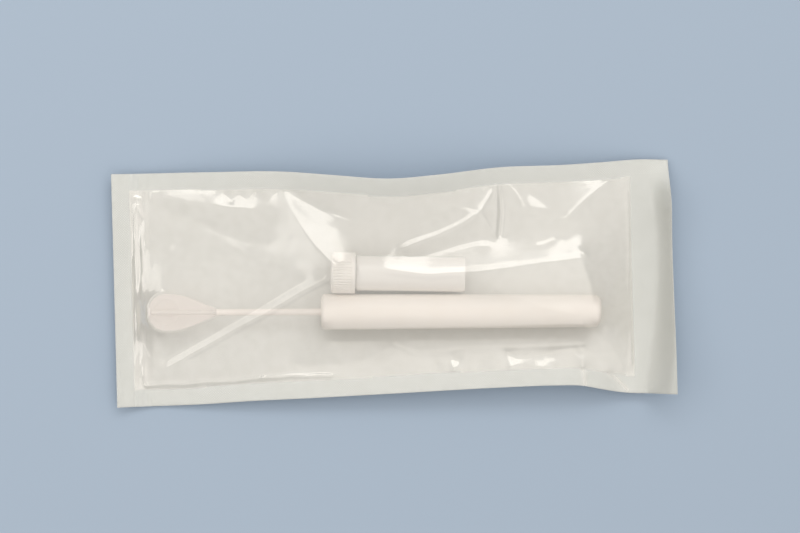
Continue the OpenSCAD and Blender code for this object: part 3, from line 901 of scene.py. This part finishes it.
def film_finish():
    """Haze colour, metal and roughness each go from their film value to their seal value with the sealed
    number. On the peel end the haze turns to a darker painted shade. The cover is a base, plus what a
    slanting look, crinkles and the painted shade of the peel end add."""
    finish = Finish("clear_film")
    place = finish.place()
    sealed = finish.attribute("sealed")
    crinkled = finish.attribute("crinkled")
    peel = finish.attribute("peel")
    streaks = finish.grain(finish.stretched(place, (0.12, 1, 1)), STREAK_LUMPS, 4.0)
    ripples = finish.grain(finish.stretched(place, (0.5, 1, 1)), RIPPLE_LUMPS, 3.0)
    emboss = embossed(finish, place) * sealed
    height = streaks * 0.25 + ripples + emboss * 0.4
    haze = finish.blend(sealed, FILM_HAZE, SEAL_HAZE)
    pressed = finish.blend(emboss.above(0.1, 0.9) * (1 - peel) * 0.6, haze, EMBOSS_HAZE)
    # On the peel end, the darker haze and the extra cover paint shade on the film.
    return finish.principled(
        Base_Color=finish.blend(peel, pressed, PEEL_PAINTED_SHADE),
        Metallic=FILM_METAL + sealed * (SEAL_METAL - FILM_METAL),
        Roughness=FILM_GLOSS + sealed * (FILM_DULL - FILM_GLOSS) + streaks * 0.06,
        Alpha=FILM_COVER
        + finish.looking_along() ** 4 * FILM_EDGE_COVER
        + crinkled * CRINKLE_COVER
        + peel * PEEL_SHADE_COVER,
        Normal=finish.bump(height, FILM_RELIEF, 0.35),
    )

# %% Film web
film_faces = grid_faces(FILM_COLUMNS, FILM_ROWS)
film = make_piece("film_front", np.stack([film_u, film_y, film_z], -1), film_faces, film_finish())
carry(film, "sealed", dull_part(film_u, film_y, film_sealed))
carry(film, "crinkled", crinkled_part(film_u, film_y))
carry(film, "peel", peel_part(film_u, film_y))
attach(film, "root")
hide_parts("film_web")

# %% [markdown]
# ## Moulded plastics
# The handle, plug, stem and leaf are one family: a warm white plastic, satin from a spark-eroded mould.
# The tube and its cap are a natural polypropylene, milky and slightly see-through. One function makes
# such a finish from its colours, with soft flow clouds, a fine mould grain and a slightly uneven gloss.

# %% Plastic finish
FLOW_LUMPS, MOULD_LUMPS = 95.0, 3800.0
MOULD_RELIEF = 0.012 * MM
PLASTIC_IOR = 1.49


def plastic_finish(name, colour, cloud, rough, cover=1.0, edge_cover=0.0, clear=0.0):
    """A moulded plastic: two close colours in soft clouds, a fine grain, and a cover of less than 1 where
    it is thin enough to see through. The edge cover is added where one looks along the wall, so through
    more of it. A clear plastic lets that share of the light in, and bends it."""
    finish = Finish(name)
    place = finish.place()
    clouds = finish.grain(place, FLOW_LUMPS, 3.0)
    grain = finish.grain(place, MOULD_LUMPS, 2.0)
    return finish.principled(
        Base_Color=finish.blend(clouds.above(0.35, 0.7), colour, cloud),
        Roughness=rough + (clouds - 0.5) * 0.12,
        Alpha=cover + finish.looking_along() ** 3 * edge_cover if edge_cover else cover,
        Normal=finish.bump(grain + clouds * 2.0, MOULD_RELIEF, 0.5),
        IOR=PLASTIC_IOR,
        Transmission_Weight=clear,
    )

# %% Plastics, each with its colour and the colour of its clouds
WARM_WHITE, WARM_CLOUD = (0.95, 0.88, 0.81), (0.935, 0.86, 0.785)
STEM_PINK, STEM_CLOUD = (0.93, 0.85, 0.79), (0.91, 0.83, 0.765)
LEAF_PINK, LEAF_CLOUD = (0.93, 0.85, 0.80), (0.91, 0.83, 0.78)
TUBE_MILKY, TUBE_CLOUD = (0.99, 0.95, 0.90), (0.975, 0.935, 0.88)
CAP_MILKY, CAP_CLOUD = (0.98, 0.93, 0.87), (0.965, 0.915, 0.85)
DISC_GREY, DISC_CLOUD = (0.80, 0.77, 0.72), (0.76, 0.73, 0.68)

wear(nodes["handle"], plastic_finish("handle_plastic", WARM_WHITE, WARM_CLOUD, 0.36))
wear(nodes["handle_plug"], plastic_finish("plug_plastic", WARM_WHITE, WARM_CLOUD, 0.40))
wear(nodes["stem"], plastic_finish("stem_plastic", STEM_PINK, STEM_CLOUD, 0.34))
leaf_plastic = plastic_finish("leaf_plastic", LEAF_PINK, LEAF_CLOUD, 0.30, cover=0.5, edge_cover=0.4)
wear(nodes["leaf"], leaf_plastic)
tube_plastic = plastic_finish("tube_plastic", TUBE_MILKY, TUBE_CLOUD, 0.14, clear=0.18)
wear(nodes["specimen_tube"], tube_plastic)
wear(nodes["tube_cap"], plastic_finish("cap_plastic", CAP_MILKY, CAP_CLOUD, 0.3, clear=0.12))
wear(nodes["seal_disc"], plastic_finish("disc_rubber", DISC_GREY, DISC_CLOUD, 0.55))
print(len(bpy.data.materials), "materials")

# %% [markdown]
# ## Thread on the tube's neck
# The cap turns on a coarse thread, which it uncovers as it rises. A thread is one profile carried along a
# helix: a low ridge with sloping sides that rises out of the neck at its start and sinks back at its end.

# %% Shape of a thread
THREAD_PITCH = 3 * MM
THREAD_TURNS = 2.0
THREAD_STEPS = 48
THREAD_CREST = 0.42 * MM
THREAD_FOOT = 1.3 * MM
THREAD_TOP = 0.5 * MM
THREAD_SINK = 0.12 * MM
THREAD_GROWTH = 6
RIM_BAND = 0.5 * MM

turn_joint = next(j for j in frame["joints"] if j["name"] == "cap_turn")
axis_point = np.array(turn_joint["pos_m"], float)


def along_and_out(node):
    """How far each vertex of a CAD node lies along the cap's axis, and how far out from it."""
    places = np.empty(len(node.data.vertices) * 3)
    node.data.vertices.foreach_get("co", places)
    arms = places.reshape(-1, 3) - axis_point
    along = arms @ cap_axis
    return along, np.linalg.norm(arms - along[:, None] * cap_axis, axis=1)


def turn_outwards(piece):
    """Makes all faces of a closed mesh point outwards."""
    work = bmesh.new()
    work.from_mesh(piece.data)
    bmesh.ops.recalc_face_normals(work, faces=work.faces)
    work.to_mesh(piece.data)
    work.free()


def thread(name, neck, rim, material):
    """A ridge on a cylinder round the cap's axis. The path turns by an angle a and climbs by the pitch
    for each full turn. Across it the profile is a trapezoid, whose height grows in over the first sixth
    of a turn and fades out over the last."""
    turn = np.linspace(0, THREAD_TURNS, int(THREAD_STEPS * THREAD_TURNS) + 1)[:, None]
    grown = np.clip(np.minimum(turn, THREAD_TURNS - turn) * THREAD_GROWTH, 0, 1)
    side = np.array([-THREAD_FOOT, -THREAD_TOP, THREAD_TOP, THREAD_FOOT, THREAD_FOOT, -THREAD_FOOT]) / 2
    height = np.array([0, 1, 1, 0, -1, -1])
    out = neck + np.where(height > 0, THREAD_CREST * grown - THREAD_SINK * (1 - grown), 0)
    out = out - np.where(height < 0, 2 * THREAD_SINK, 0)
    climb = rim - THREAD_FOOT + THREAD_PITCH * (turn - THREAD_TURNS) + side
    across = np.cross(cap_axis, (0, 0, 1))
    across /= np.linalg.norm(across)
    upright = np.cross(across, cap_axis)
    angle = 2 * math.pi * turn[..., None]
    spoke = np.cos(angle) * upright + np.sin(angle) * np.cross(cap_axis, upright)
    points = axis_point + cap_axis * climb[..., None] + spoke * out[..., None]
    steps, corners = out.shape
    ends = [list(range(corners)), list(range((steps - 1) * corners, steps * corners))]
    piece = make_piece(name, points, grid_faces(steps, corners, closed=True).tolist() + ends, material)
    turn_outwards(piece)
    return piece

# %% Neck thread
tube_along, tube_out = along_and_out(nodes["specimen_tube"])
rim = tube_along.max()
neck = tube_out[tube_along > rim - RIM_BAND].max()
neck_thread = thread("neck_thread", neck, rim, tube_plastic)
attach(neck_thread, "root")
print("neck radius", round(neck / MM, 2), "mm")
